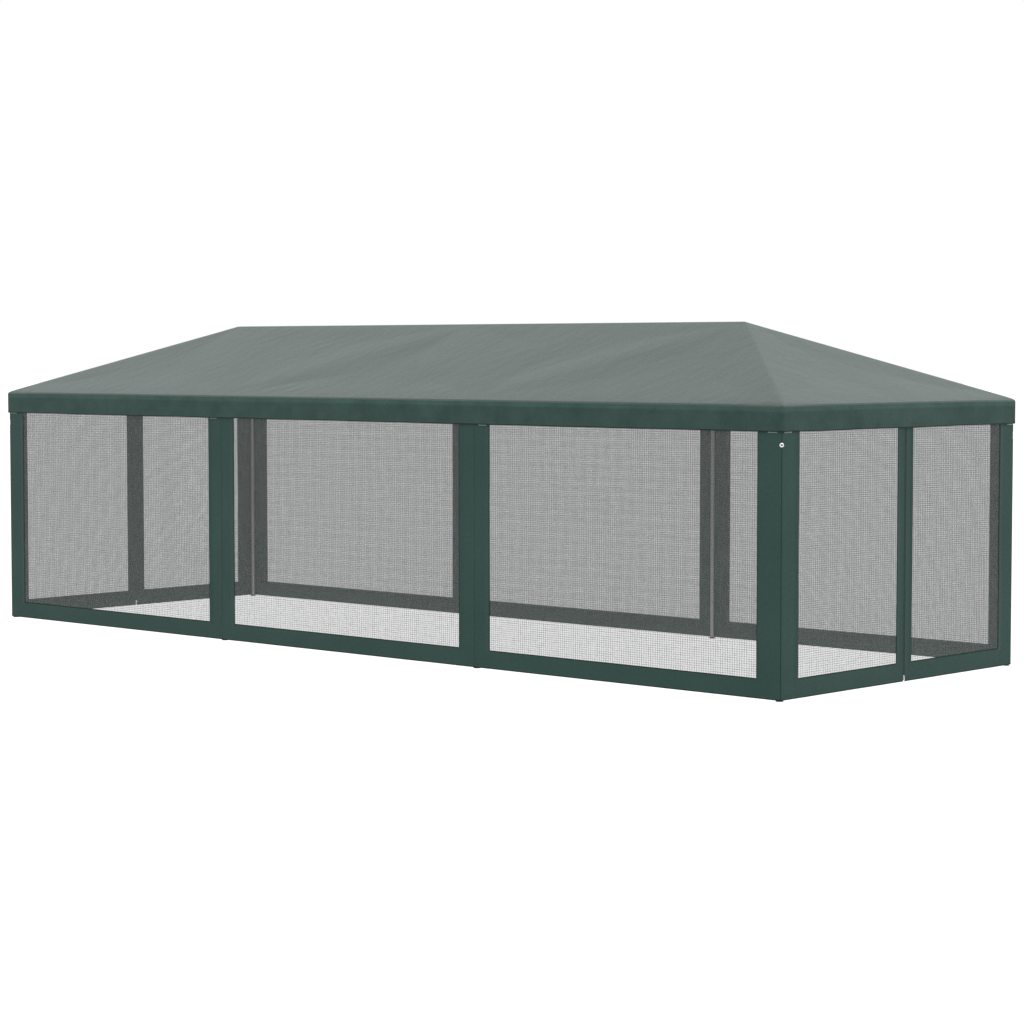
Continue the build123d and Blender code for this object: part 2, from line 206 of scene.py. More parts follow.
def waves(places, length, seed, count=24):
    """A smooth random value, about -1 to 1, at each place: a sum of waves about that long."""
    rng = np.random.default_rng(seed)
    ways = rng.normal(size=(count, places.shape[1]))
    ways /= np.linalg.norm(ways, axis=1)[:, None]
    ways *= 2 * math.pi / length * rng.uniform(0.6, 1.5, (count, 1))
    phase = rng.uniform(0, 2 * math.pi, count)
    return np.sin(places @ ways.T + phase).sum(1) / math.sqrt(count)


def streaks(places, length, angle, spread, seed, count=24):
    """Like waves, in two dimensions, with crests that all run near one angle."""
    rng = np.random.default_rng(seed)
    turn = angle + math.pi / 2 + rng.normal(0, spread, count)
    ways = np.stack([np.cos(turn), np.sin(turn)], 1)
    ways *= 2 * math.pi / length * rng.uniform(0.7, 1.4, (count, 1))
    phase = rng.uniform(0, 2 * math.pi, count)
    return np.sin(places @ ways.T + phase).sum(1) / math.sqrt(count)


def piece(name, points, faces, uv=None, fields=None):
    """A smooth-shaded mesh, with a place on the cloth and other values at each point."""
    points, faces = np.asarray(points, float), [tuple(f) for f in faces]
    used = sorted({i for f in faces for i in f})
    new = {old: i for i, old in enumerate(used)}
    mesh = bpy.data.meshes.new(name)
    mesh.from_pydata(points[used].tolist(), [], [[new[i] for i in f] for f in faces])
    mesh.polygons.foreach_set("use_smooth", [True] * len(mesh.polygons))
    if uv is not None:
        layer = mesh.uv_layers.new(name="cloth")
        corner = np.zeros(len(mesh.loops), int)
        mesh.loops.foreach_get("vertex_index", corner)
        layer.data.foreach_set("uv", np.asarray(uv, float)[used][corner].astype(np.float32).ravel())
    for field, values in (fields or {}).items():
        attribute = mesh.attributes.new(field, "FLOAT", "POINT")
        attribute.data.foreach_set("value", np.asarray(values, float)[used].astype(np.float32))
    obj = bpy.data.objects.new(name, mesh)
    bpy.context.scene.collection.objects.link(obj)
    return obj


def grid(rows, columns, keep=None):
    """The faces of a grid of rows by columns of points, where keep(row, column) says so."""
    i, j = np.meshgrid(np.arange(rows - 1), np.arange(columns - 1), indexing="ij")
    corner = (i * columns + j).ravel()
    faces = np.stack([corner, corner + columns, corner + columns + 1, corner + 1], 1)
    return faces if keep is None else faces[keep(i.ravel(), j.ravel())]


def thicken(obj, thick, offset=-1.0):
    """Gives a sheet its thickness; offset -1 adds it behind the surface."""
    modifier = obj.modifiers.new("thickness", "SOLIDIFY")
    modifier.thickness = thick
    modifier.offset = offset
    return obj


def outside(values, low, high):
    """How far each value is outside a range, and 0 inside it."""
    return np.maximum(np.maximum(low - values, values - high), 0)


def hem_marks(edge, side):
    """Lines across a folded hem, from its edge towards side."""
    return [edge + side * distance for distance, _ in HEM_PROFILE]


def hem_rise(distance):
    """How far the folded hem stands out, by the distance from its edge."""
    at, rise = zip(*HEM_PROFILE)
    return np.interp(distance, at, rise)


def wall_sway(along, z):
    """How far a wall's cloth leans out, by the distance along the walls and the height."""
    places = np.stack([along, z * 0.45], 1)
    return WALL_SWAY * waves(places, 0.55, WALL_SEED) + WALL_RIPPLE * waves(places, 0.14, WALL_SEED + 1)


def untied(z):
    """1 where a wall hangs free, falling to 0 at its top, where it is tied to the beams."""
    return np.clip((WALL_TOP - z) / TIED_HEIGHT, 0, 1)


# ---------------------------------------------------------------- materials


class Finish:
    """A material under construction: its nodes, its shader, and short ways to add to them."""

    def __init__(self, name, roughness=0.6, **sockets):
        self.material = bpy.data.materials.new(name)
        self.material.use_nodes = True
        self.nodes, self.links = self.material.node_tree.nodes, self.material.node_tree.links
        self.nodes.clear()
        out = self.nodes.new("ShaderNodeOutputMaterial")
        self.shader = self.nodes.new("ShaderNodeBsdfPrincipled")
        self.links.new(self.shader.outputs[0], out.inputs["Surface"])
        self.shader.inputs["Roughness"].default_value = roughness
        for socket, value in sockets.items():
            self.shader.inputs[socket.replace("_", " ")].default_value = value

    def node(self, kind, sockets=(), **settings):
        made = self.nodes.new(kind)
        for setting, value in settings.items():
            setattr(made, setting, value)
        for socket, value in dict(sockets).items():
            self.feed(made.inputs[socket], value)
        return made

    def feed(self, socket, value):
        if hasattr(value, "links") or hasattr(value, "is_linked"):
            self.links.new(value, socket)
        else:
            socket.default_value = value

    def sum(self, operation, first, second=0.0, third=0.0):
        made = self.node("ShaderNodeMath", {0: first, 1: second, 2: third}, operation=operation)
        return made.outputs[0]

    def noise(self, where, scale, detail=2.0, roughness=0.5):
        sockets = {"Vector": where, "Scale": scale, "Detail": detail, "Roughness": roughness}
        return self.node("ShaderNodeTexNoise", sockets).outputs["Fac"]

    def remap(self, value, low, high, new_low=0.0, new_high=1.0):
        sockets = {0: value, 1: low, 2: high, 3: new_low, 4: new_high}
        return self.node("ShaderNodeMapRange", sockets).outputs[0]

    def stretch(self, where, x, y, z=1.0):
        sockets = {"Vector": where, "Scale": (x, y, z)}
        return self.node("ShaderNodeMapping", sockets).outputs[0]

    def blend_colours(self, share, first, second):
        made = self.node("ShaderNodeMix", data_type="RGBA")
        self.feed(made.inputs[0], share)
        self.feed(made.inputs[6], first)
        self.feed(made.inputs[7], second)
        return made.outputs[2]

    def shade(self, colour, share, amount):
        """The colour times a share that goes from 1, where amount is 0, to that share."""
        factor = self.remap(amount, 0.0, 1.0, 1.0, share)
        made = self.node("ShaderNodeVectorMath", {0: colour, "Scale": factor}, operation="SCALE")
        return made.outputs[0]

    def bump(self, height, distance, strength=1.0, after=None):
        sockets = {"Height": height, "Distance": distance, "Strength": strength}
        if after is not None:
            sockets["Normal"] = after
        return self.node("ShaderNodeBump", sockets).outputs[0]

    def field(self, name):
        return self.node("ShaderNodeAttribute", attribute_name=name).outputs["Fac"]

    def use(self, colour=None, normal=None, roughness=None, alpha=None):
        for socket, value in (
            ("Base Color", colour),
            ("Normal", normal),
            ("Roughness", roughness),
            ("Alpha", alpha),
        ):
            if value is not None:
                self.feed(self.shader.inputs[socket], value)
        return self.material


def cloth_place(finish):
    """The place on the cloth, in metres."""
    return finish.node("ShaderNodeUVMap", uv_map="cloth").outputs[0]


def thread_heights(finish, where, pitch):
    """The two sets of threads of a weave of that pitch, each as a height from 0 to 1."""
    apart = finish.node("ShaderNodeSeparateXYZ", {0: where})
    heights = []
    for axis in (0, 1):
        turns = finish.sum("MULTIPLY", apart.outputs[axis], 2 * math.pi / pitch)
        heights.append(finish.sum("MULTIPLY_ADD", finish.sum("SINE", turns), 0.5, 0.5))
    return heights


def sewn(finish):
    """Masks of the stitches and of a painted shade line along each hem's edge and each seam."""
    distance, run = finish.field("edge"), finish.field("run")
    off_row = finish.sum("ABSOLUTE", finish.sum("SUBTRACT", distance, STITCH_IN))
    row = finish.remap(off_row, 0.0004, 0.0009, 1.0, 0.0)
    beat = finish.sum("FRACT", finish.sum("MULTIPLY", run, 1 / STITCH_LENGTH))
    off_stitch = finish.sum("ABSOLUTE", finish.sum("SUBTRACT", beat, 0.5))
    dash = finish.remap(off_stitch, 0.30, 0.36, 1.0, 0.0)
    stitches = finish.sum("MULTIPLY", row, dash)
    return stitches, finish.remap(distance, 0.0055, 0.0090, 1.0, 0.0)


def woven(name, dark, light, roughness, weave=0.0011, edges=True, creases=0.0016,
          sheen=0.03, gloss=0.14, valance_with_lit_top=False):
    """Coated polyester cloth: a fine weave, cloudy colour, soft creases, and sewn edges, with painted shade
    along the edges and seams, painted shade in the weave's gaps, and on the valance a painted highlight at
    its top.
    """
    finish = Finish(name, roughness, Sheen_Weight=sheen, Sheen_Roughness=0.45)
    finish.shader.inputs["Sheen Tint"].default_value = (0.75, 0.9, 0.85, 1)
    finish.shader.inputs["Specular IOR Level"].default_value = gloss
    where = cloth_place(finish)
    cloud = finish.noise(where, 5.0 if valance_with_lit_top else 1.6, 3.0, 0.55)
    mottle = finish.noise(where, 45.0, 2.0, 0.6)
    across, up = thread_heights(finish, where, weave)
    weave_height = finish.sum("MAXIMUM", across, up)
    colour = finish.blend_colours(finish.remap(cloud, 0.3, 0.7), dark, light)
    colour = finish.shade(colour, 0.90, finish.remap(mottle, 0.35, 0.75))
    # Painted shade: a tenth darker in the gaps between the threads.
    colour = finish.shade(colour, 0.90, finish.sum("SUBTRACT", 1.0, weave_height))
    # Painted highlight: the valance's top strip, under the roof's shoulder, is made 1.35 times lighter.
    if valance_with_lit_top:
        height = finish.node("ShaderNodeSeparateXYZ", {0: where}).outputs[1]
        low = VALANCE_TOP - SHOULDER_RADIUS - LIT_STRIP_DEPTH
        colour = finish.shade(colour, 1.35, finish.remap(height, low - 0.006, low + 0.008))
    crease = finish.noise(finish.stretch(where, 1.0, 0.55), 9.0, 3.0, 0.5)
    normal = finish.bump(crease, creases, 1.0)
    normal = finish.bump(weave_height, 0.00006, 0.5, after=normal)
    rough = finish.remap(mottle, 0.2, 0.8, roughness - 0.06, roughness + 0.08)
    if edges:
        stitches, edge_shade = sewn(finish)
        # Painted shade: a dark line along each hem's edge and each seam.
        colour = finish.shade(colour, 0.28, edge_shade)
        colour = finish.shade(colour, 1.20, stitches)
        normal = finish.bump(stitches, 0.0004, 0.8, after=normal)
    return finish.use(colour, normal, rough)


def netting_finish():
    """Knitted mosquito netting: small square cells of dark yarn, with slubs and heavier yarns."""
    finish = Finish("netting", 0.75)
    where = cloth_place(finish)
    across, up = thread_heights(finish, where, NET_PITCH)
    cell = finish.sum("MAXIMUM", across, up)
    yarn = finish.remap(cell, 0.90, 0.97, NET_HOLE, NET_YARN)
    wide = finish.remap(thread_heights(finish, where, NET_HEAVY_ACROSS)[0], 0.35, 1.0)
    tall = finish.remap(thread_heights(finish, where, NET_HEAVY_UP)[1], 0.35, 1.0)
    slub = finish.noise(finish.stretch(where, 50.0, 7.0), 1.0, 2.0, 0.6)
    slub_up = finish.noise(finish.stretch(where, 7.0, 60.0), 1.0, 2.0, 0.6)
    heavy_across, heavy_up = finish.sum("MULTIPLY", wide, slub), finish.sum("MULTIPLY", tall, slub_up)
    heavier = finish.sum("ADD", heavy_across, heavy_up)
    alpha = finish.sum("MULTIPLY_ADD", heavier, NET_SLUB, yarn)
    colour = finish.blend_colours(slub, (0.055, 0.062, 0.060, 1), (0.10, 0.107, 0.105, 1))
    normal = finish.bump(cell, 0.0002, 0.5)
    return finish.use(colour, normal, None, alpha)


def painted(name, colour, worn, roughness=0.42, metallic=0.0, grain=900.0):
    """Powder coat on steel: a fine orange peel, cloudy gloss, and paler rubbed places."""
    finish = Finish(name, roughness, Metallic=metallic)
    where = finish.node("ShaderNodeTexCoord").outputs["Object"]
    cloud = finish.noise(where, 7.0, 4.0, 0.6)
    rub = finish.noise(finish.stretch(where, 1.0, 1.0, 0.2), 60.0, 5.0, 0.7)
    peel = finish.noise(where, grain, 1.0, 0.5)
    edge = finish.node("ShaderNodeNewGeometry").outputs["Pointiness"]
    rubbed = finish.sum("MAXIMUM", finish.remap(rub, 0.62, 0.74), finish.remap(edge, 0.52, 0.58))
    shade = finish.blend_colours(cloud, [c * 0.9 for c in colour[:3]] + [1], colour)
    shade = finish.blend_colours(finish.sum("MULTIPLY", rubbed, 0.5), shade, worn)
    gloss = finish.remap(cloud, 0.3, 0.7, roughness - 0.07, roughness + 0.09)
    return finish.use(shade, finish.bump(peel, 0.00008, 0.6), gloss)


def moulded(name, dark, light, roughness=0.55):
    """Moulded plastic: a fine spark-eroded grain, scuffed where it is handled."""
    finish = Finish(name, roughness)
    where = finish.node("ShaderNodeTexCoord").outputs["Object"]
    cloud = finish.noise(where, 30.0, 4.0, 0.6)
    scuff = finish.noise(finish.stretch(where, 1.0, 1.0, 6.0), 120.0, 4.0, 0.7)
    grain = finish.noise(where, 1800.0, 2.0, 0.6)
    shade = finish.blend_colours(finish.remap(cloud, 0.3, 0.7), dark, light)
    shade = finish.blend_colours(finish.remap(scuff, 0.60, 0.75, 0.0, 0.35), shade, (0.2, 0.2, 0.2, 1))
    gloss = finish.remap(scuff, 0.3, 0.7, roughness - 0.05, roughness + 0.12)
    return finish.use(shade, finish.bump(grain, 0.00006, 0.6), gloss)


def plated(name, colour, roughness=0.26):
    """Bright plated metal with fine brushing and slight tarnish."""
    finish = Finish(name, roughness, Metallic=1.0)
    where = finish.node("ShaderNodeTexCoord").outputs["Object"]
    tarnish = finish.noise(where, 160.0, 4.0, 0.65)
    brush = finish.noise(finish.stretch(where, 900.0, 900.0, 60.0), 1.0, 2.0, 0.6)
    shade = finish.blend_colours(tarnish, [c * 0.78 for c in colour[:3]] + [1], colour)
    gloss = finish.remap(tarnish, 0.3, 0.7, roughness - 0.08, roughness + 0.14)
    return finish.use(shade, finish.bump(brush, 0.00003, 0.5), gloss)


def pile(name, dark, light):
    """Hook-and-loop tape: a fuzzy pile on a woven tape."""
    finish = Finish(name, 0.9, Sheen_Weight=0.6, Sheen_Roughness=0.6)
    where = finish.node("ShaderNodeTexCoord").outputs["Object"]
    fuzz = finish.noise(where, 900.0, 3.0, 0.7)
    cloud = finish.noise(where, 40.0, 2.0, 0.5)
    shade = finish.blend_colours(finish.remap(cloud, 0.3, 0.7), dark, light)
    shade = finish.shade(shade, 0.7, finish.remap(fuzz, 0.4, 0.7))
    return finish.use(shade, finish.bump(fuzz, 0.0004, 0.8))


# The roof, the valance and the walls are one fabric. The roof's copy has much more sheen and gloss and a
# greyer colour, as painted reflection of the bright surround off its slopes; the valance's and walls' copies
# are the darker ones.
ROOF_CLOTH = woven(
    "roof_cloth", (0.028, 0.048, 0.042, 1), (0.034, 0.056, 0.050, 1), roughness=0.50,
    creases=0.004, sheen=0.25, gloss=0.42,
)
VALANCE_CLOTH = woven(
    "valance_cloth", (0.018, 0.042, 0.035, 1), (0.028, 0.058, 0.049, 1), roughness=0.58,
    creases=0.003, valance_with_lit_top=True,
)
WALL_CLOTH = woven("wall_cloth", (0.0185, 0.046, 0.038, 1), (0.0235, 0.053, 0.045, 1), roughness=0.60)
ZIP_TAPE = woven(
    "zip_tape", (0.018, 0.044, 0.037, 1), (0.022, 0.050, 0.042, 1), roughness=0.7,
    weave=0.0007, edges=False,
)
NETTING = netting_finish()
TUBE_STEEL = painted("tube_coat", (0.24, 0.25, 0.25, 1), (0.5, 0.5, 0.49, 1), 0.38, 0.35)
CONNECTOR_STEEL = painted("connector_coat", (0.26, 0.27, 0.27, 1), (0.5, 0.5, 0.49, 1), 0.45, 0.2)
FOOT_PLASTIC = moulded("foot_plastic", (0.018, 0.019, 0.019, 1), (0.035, 0.037, 0.037, 1))
BUTTON_STEEL = plated("button_steel", (0.70, 0.70, 0.69, 1))
ZIP_METAL = plated("zip_metal", (0.82, 0.82, 0.81, 1))
EYELET_METAL = plated("eyelet_metal", (0.80, 0.82, 0.81, 1), 0.28)
COIL_NYLON = moulded("coil_nylon", (0.004, 0.006, 0.005, 1), (0.008, 0.011, 0.010, 1), 0.5)
STRAP_TAPE = pile("strap_tape", (0.095, 0.150, 0.132, 1), (0.130, 0.195, 0.175, 1))


# ---------------------------------------------------------------- roof


def frame_lines():
    """The frame's tubes under the roof, seen from above."""
    found = []
    for side in (-1, 1):
        found.append(((-LEG_X, side * LEG_Y), (LEG_X, side * LEG_Y)))
        found.append(((side * LEG_X, -LEG_Y), (side * LEG_X, LEG_Y)))
        for end in (-1, 1):
            found.append(((end * LEG_X, side * LEG_Y), (end * PEAK_X, 0)))
            found.append(((end * JOINT_X, side * LEG_Y), (end * PEAK_X, 0)))
            found.append(((end * JOINT_X, side * LEG_Y), (0, 0)))
    found.append(((-PEAK_X, 0), (PEAK_X, 0)))
    return found


def tube_distance(places):
    """How far each place is from the nearest tube, seen from above."""
    best = np.full(len(places), 9.0)
    for start, end in frame_lines():
        start, way = np.array(start, float), np.array(end, float) - start
        share = np.clip((places - start) @ way / (way @ way), 0, 1)
        best = np.minimum(best, np.linalg.norm(places - start - share[:, None] * way, axis=1))
    return best


def roof_height(x, y):
    """The height of the tight roof: its four slopes, softened where they meet."""
    ridge = np.sqrt(y**2 + RIDGE_SOFTNESS**2) - 0.35 * RIDGE_SOFTNESS
    long_rise = (ROOF_Y - ridge) * LONG_PITCH
    end_rise = (ROOF_X - np.abs(x)) * END_PITCH
    lower = (long_rise + end_rise - np.sqrt((long_rise - end_rise) ** 2 + HIP_SOFTNESS**2)) / 2
    return VALANCE_TOP + lower


def roof_slack(x, y):
    """How far the cloth drops between the tubes, and its small pulled wrinkles."""
    places = np.stack([x, y], 1)
    away = tube_distance(places)
    free = 1 - np.exp(-((away / SAG_REACH) ** 2))
    drop = -SAG * free * (1 + 0.25 * waves(places, 1.1, 3))
    patchy = np.clip(waves(places, 0.9, 5), 0, 1.6)
    pulled = np.zeros(len(x))
    for side in (-1, 1):
        on = np.where(y * side > 0, 1.0, 0.0)
        pulled += on * streaks(places, WRINKLE_LENGTH, -side * WRINKLE_ANGLE, WRINKLE_SPREAD, 11 + side)
    drop += WRINKLE * patchy * pulled * np.clip(away / 0.05, 0.25, 1)
    for end in (-1, 1):
        for px, py in ((end * LEG_X, -LEG_Y), (end * LEG_X, LEG_Y), (end * PEAK_X, 0)):
            reach = np.hypot(x - px, y - py)
            turn = np.arctan2(y - py, x - px)
            folds = np.sin(turn * GATHER_FOLDS + 1.3 * px) * np.clip(reach / 0.25, 0, 1)
            drop += GATHER * folds * np.exp(-((reach / GATHER_REACH) ** 2))
    return drop


def corner_dip(x, y):
    """How far the rim is pulled down near the roof's corners, outside the frame."""
    from_end, from_side = ROOF_X - np.abs(x), ROOF_Y - np.abs(y)
    share = np.exp(-((np.hypot(from_end, from_side) / CORNER_DIP_REACH) ** 2))
    return CORNER_DIP * share * np.clip(1 - np.minimum(from_end, from_side) / CORNER_DIP_FADE, 0, 1)


def shoulder():
    """The roof's turn into its valance, as (inset from the valance, height), from the top down."""
    top_turn = math.pi / 2 - math.atan(LONG_PITCH)
    reach = SHOULDER_RADIUS * math.tan(top_turn / 2)
    centre_z = VALANCE_TOP - reach
    turns = np.linspace(top_turn, 0, 8)
    return [
        (SHOULDER_RADIUS * (1 - math.cos(t)), centre_z + SHOULDER_RADIUS * math.sin(t)) for t in turns
    ]


def valance_rows(start):
    """Heights down the valance, from its top row to its hem."""
    marks = sorted({distance for distance, _ in HEM_PROFILE} | {0.006}, reverse=True)
    hem = [VALANCE_BOTTOM + mark for mark in marks]
    return list(np.linspace(start, hem[0] + 0.004, 7)[1:]) + hem


def roof_grid(half_x, half_y):
    """The grid's X and Y. Both climb a hip in the same steps, so that it cuts cells corner to corner."""
    marks = [*RIM_MARKS, *(half_y - mark for mark in RIDGE_MARKS)]
    shares = lines(ROOF_STEP / half_y, *(mark / half_y for mark in marks))
    rise_x = shares * (half_x - PEAK_X) - half_x
    rise_y = shares * half_y - half_y
    middle = lines(ROOF_STEP * 1.1, -PEAK_X, 0, PEAK_X)[1:-1]
    return np.concatenate([rise_x, middle, -rise_x[::-1]]), np.concatenate([rise_y, -rise_y[-2::-1]])


def rim_corners(x, y, half_x, half_y):
    """Which points are in the rim's corners, and their places there, as shares of RIM_ROUND, once rounded."""
    a = (np.abs(x) - (half_x - RIM_ROUND)) / RIM_ROUND
    b = (np.abs(y) - (half_y - RIM_ROUND)) / RIM_ROUND
    corner = (a > 0) & (b > 0)
    share_x = np.where(corner, a * np.sqrt(np.maximum(1 - b**2 / 2, 0)), 0)
    share_y = np.where(corner, b * np.sqrt(np.maximum(1 - a**2 / 2, 0)), 0)
    return corner, share_x, share_y


def rim_ring(count_x, count_y):
    """The numbers of the grid's rim points, in order round it."""
    ring = [i * count_y for i in range(count_x)]
    ring += [(count_x - 1) * count_y + j for j in range(1, count_y)]
    ring += [i * count_y + count_y - 1 for i in range(count_x - 2, -1, -1)]
    ring += list(range(count_y - 2, 0, -1))
    return np.array(ring)


def roof_cells(xs, ys):
    """The faces of the roof's grid, with those on a hip cut along it."""
    above_hip = (ROOF_X - np.abs(xs))[:, None] * END_PITCH - (ROOF_Y - np.abs(ys))[None, :] * LONG_PITCH
    faces = []
    for quad in grid(len(xs), len(ys)):
        i, j = divmod(int(quad[0]), len(ys))
        cell = above_hip[i : i + 2, j : j + 2]
        cut = np.abs(cell).min() < ON_HIP and cell.min() < -ON_HIP and cell.max() > ON_HIP
        if not cut:
            faces.append(tuple(quad))
        elif abs(cell[0, 0]) < ON_HIP and abs(cell[1, 1]) < ON_HIP:
            faces += [(quad[0], quad[1], quad[2]), (quad[0], quad[2], quad[3])]
        else:
            faces += [(quad[0], quad[1], quad[3]), (quad[1], quad[2], quad[3])]
    return faces


def canopy():
    """The roof and valance as one cloth, over a grid whose diagonals lie along the hips."""
    rows = shoulder()
    rim_inset, rim_z = rows[0]
    half_x, half_y = ROOF_X - rim_inset, ROOF_Y - rim_inset
    xs, ys = roof_grid(half_x, half_y)
    grid_x, grid_y = (a.ravel() for a in np.meshgrid(xs, ys, indexing="ij"))
    rim = np.minimum(half_x - np.abs(grid_x), half_y - np.abs(grid_y))
    z = roof_height(grid_x, grid_y) + roof_slack(grid_x, grid_y) * np.clip(rim / SLACK_FADE, 0, 1)
    z = np.where(rim < ON_RIM, rim_z, z) - corner_dip(grid_x, grid_y)
    corner, share_x, share_y = rim_corners(grid_x, grid_y, half_x, half_y)
    x = np.where(corner, np.sign(grid_x) * (half_x - RIM_ROUND + RIM_ROUND * share_x), grid_x)
    y = np.where(corner, np.sign(grid_y) * (half_y - RIM_ROUND + RIM_ROUND * share_y), grid_y)

    # The rim's points, and the way out at each
    ring = rim_ring(len(xs), len(ys))
    at_x, at_y = grid_x[ring], grid_y[ring]
    on_end = np.abs(at_x) > half_x - ON_RIM
    end_way, side_way = np.stack([np.sign(at_x), 0 * at_x], 1), np.stack([0 * at_x, np.sign(at_y)], 1)
    round_way = np.stack([np.sign(at_x) * share_x[ring], np.sign(at_y) * share_y[ring]], 1)
    way = np.where(on_end[:, None], end_way, side_way)
    way = np.where(corner[ring][:, None], round_way, way)
    way /= np.linalg.norm(way, axis=1)[:, None]

    # From the rim down over the shoulder and valance
    points = [np.stack([x, y, z], 1)]
    flats = [np.stack([grid_x, grid_y * math.hypot(1, LONG_PITCH)], 1)]
    edges, runs = [np.full(len(x), 1.0)], [np.zeros(len(x))]
    rim_points = points[0][ring]
    step = np.linalg.norm(np.diff(rim_points[:, :2], axis=0, append=rim_points[:1, :2]), axis=1)
    run = np.concatenate([[0], np.cumsum(step)[:-1]])
    rim_places = np.stack([at_x, at_y], 1)
    sway = waves(rim_places, 0.75, 21)
    flutter = waves(rim_places, 0.17, 22)
    wander = waves(rim_places, 0.9, 23)
    calm = np.where(on_end, 0.8, np.clip(np.minimum(ROOF_X - np.abs(at_x), 1) * 8, 0.25, 1))
    below_rim = rows[1:] + [(0.0, height) for height in valance_rows(rows[-1][1])]
    for inset, height in below_rim:
        drop = np.clip((VALANCE_TOP - height) / (VALANCE_TOP - VALANCE_BOTTOM), 0, 1)
        lean = drop**1.4 * (VALANCE_SWAY * sway + VALANCE_FLUTTER * flutter)
        lean = lean + drop * (1 - drop) * VALANCE_BELLY * flutter
        hem = hem_rise(height - VALANCE_BOTTOM) * (drop > 0)
        out = rim_inset - inset + lean * calm + hem
        level = height + HEM_WANDER * drop * wander
        level = level + (rim_points[:, 2] - rim_z) * (1 - drop)
        points.append(np.column_stack([rim_points[:, :2] + way * out[:, None], level]))
        flats.append(np.stack([run, np.full(len(run), height)], 1))
        edges.append(np.full(len(run), max(height - VALANCE_BOTTOM, 0.0)))
        runs.append(run)

    faces = roof_cells(xs, ys)
    roof_faces = len(faces) + len(ring) * (len(rows) - 1)
    upper = ring
    for level in range(len(below_rim)):
        lower = len(x) + level * len(ring) + np.arange(len(ring))
        faces += list(np.stack([upper, lower, np.roll(lower, -1), np.roll(upper, -1)], 1))
        upper = lower
    fields = {"edge": np.concatenate(edges), "run": np.concatenate(runs)}
    roof = piece("roof_and_valance", np.concatenate(points), faces, np.concatenate(flats), fields)
    thicken(roof, CLOTH_THICK)
    roof.data.materials.append(ROOF_CLOTH)
    roof.data.materials.append(VALANCE_CLOTH)
    roof.data.polygons.foreach_set("material_index", [int(i >= roof_faces) for i in range(len(faces))])
    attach(roof, "frame")
    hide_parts("canopy")


# ---------------------------------------------------------------- walls


def round_corner(s, out):
    """The place of cloth at distance s along the near front walls, standing out from them.

    Up to CORNER_START, s is X on the front wall; then it goes round the corner, and along the end.
    """
    turn = np.clip((s - CORNER_START) / CORNER_ROUND, 0, math.pi / 2)
    centre_x, centre_y = CORNER_START, CORNER_ROUND - WALL_Y
    way_x, way_y = np.sin(turn), -np.cos(turn)
    x = centre_x + (CORNER_ROUND + out) * way_x + np.minimum(s - CORNER_START, 0)
    y = centre_y + (CORNER_ROUND + out) * way_y + np.maximum(s - CORNER_END, 0)
    return x, y


def corner_relief(s, z):
    """How far the cloth stands out of the round corner: a sharp fold, pressed flat at the grommet."""
    turn = (s - CORNER_MIDDLE) / CORNER_ROUND
    off_face = np.clip(math.pi / 4 - np.hypot(turn, CORNER_SOFTNESS), 0, None)
    fold = CORNER_SHARPNESS * CORNER_ROUND * (1 / np.cos(off_face) - 1)
    flat = CORNER_ROUND * (1 / np.cos(np.clip(turn, -PRESSED_TURN, PRESSED_TURN)) - 1)
    pressed = np.exp(-(((z - EYELET_Z) / PRESSED_HEIGHT) ** 4))
    return fold * (1 - pressed) + np.minimum(fold, flat) * pressed


def border_fields(u, v, holes, seams):
    """How far each point is from the nearest sewn edge, how far along it, and how firm it is."""
    edge, run, firm = v - HEM_Z, u.copy(), np.ones(len(u))
    for low_u, low_v, high_u, high_v in holes:
        off_u, off_v = outside(u, low_u, high_u), outside(v, low_v, high_v)
        distance = np.maximum(off_u, off_v)
        run = np.where((distance < edge) & (off_u > off_v), v, np.where(distance < edge, u, run))
        edge = np.minimum(edge, distance)
    for seam in seams:
        distance = np.abs(u - seam) + SEAM_IN
        run = np.where(distance < edge, v, run)
        firm = np.where(distance < edge, SEAM_FIRMNESS, firm)
        edge = np.minimum(edge, distance)
    return edge, run, firm


def wall_border(name, us, holes, seams, place, mirrored, node):
    """A wall's cloth bands: a sheet with its netting holes left open, hemmed all round them."""
    marks = hem_marks(HEM_Z, 1)
    marks += hem_marks(NET_BOTTOM, -1) + hem_marks(NET_TOP, 1) + [WALL_TOP]
    turns_corner = us[0] < CORNER_MIDDLE < us[-1]
    if turns_corner:
        marks += list(EYELET_Z + np.linspace(-GROMMET_GRID, GROMMET_GRID, 51))
    vs = lines(BAND_STEP, *marks)
    u, v = (a.ravel() for a in np.meshgrid(us, vs, indexing="ij"))
    edge, run, firm = border_fields(u, v, holes, seams)

    def keep(i, j):
        mid_u, mid_v = (us[i] + us[i + 1]) / 2, (vs[j] + vs[j + 1]) / 2
        kept = np.ones(len(i), bool)
        for low_u, low_v, high_u, high_v in holes:
            kept &= ~((mid_u > low_u) & (mid_u < high_u) & (mid_v > low_v) & (mid_v < high_v))
        if turns_corner:
            kept &= np.hypot(mid_u - CORNER_MIDDLE, mid_v - EYELET_Z) > GROMMET_HOLE
        return kept

    points = place(u, v, hem_rise(edge) * firm)
    faces = grid(len(us), len(vs), keep)
    faces = faces[:, ::-1] if mirrored else faces
    obj = piece(name, points, faces, np.stack([u, v], 1), {"edge": edge, "run": run})
    thicken(obj, CLOTH_THICK)
    obj.data.materials.append(WALL_CLOTH)
    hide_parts(node)
    return obj


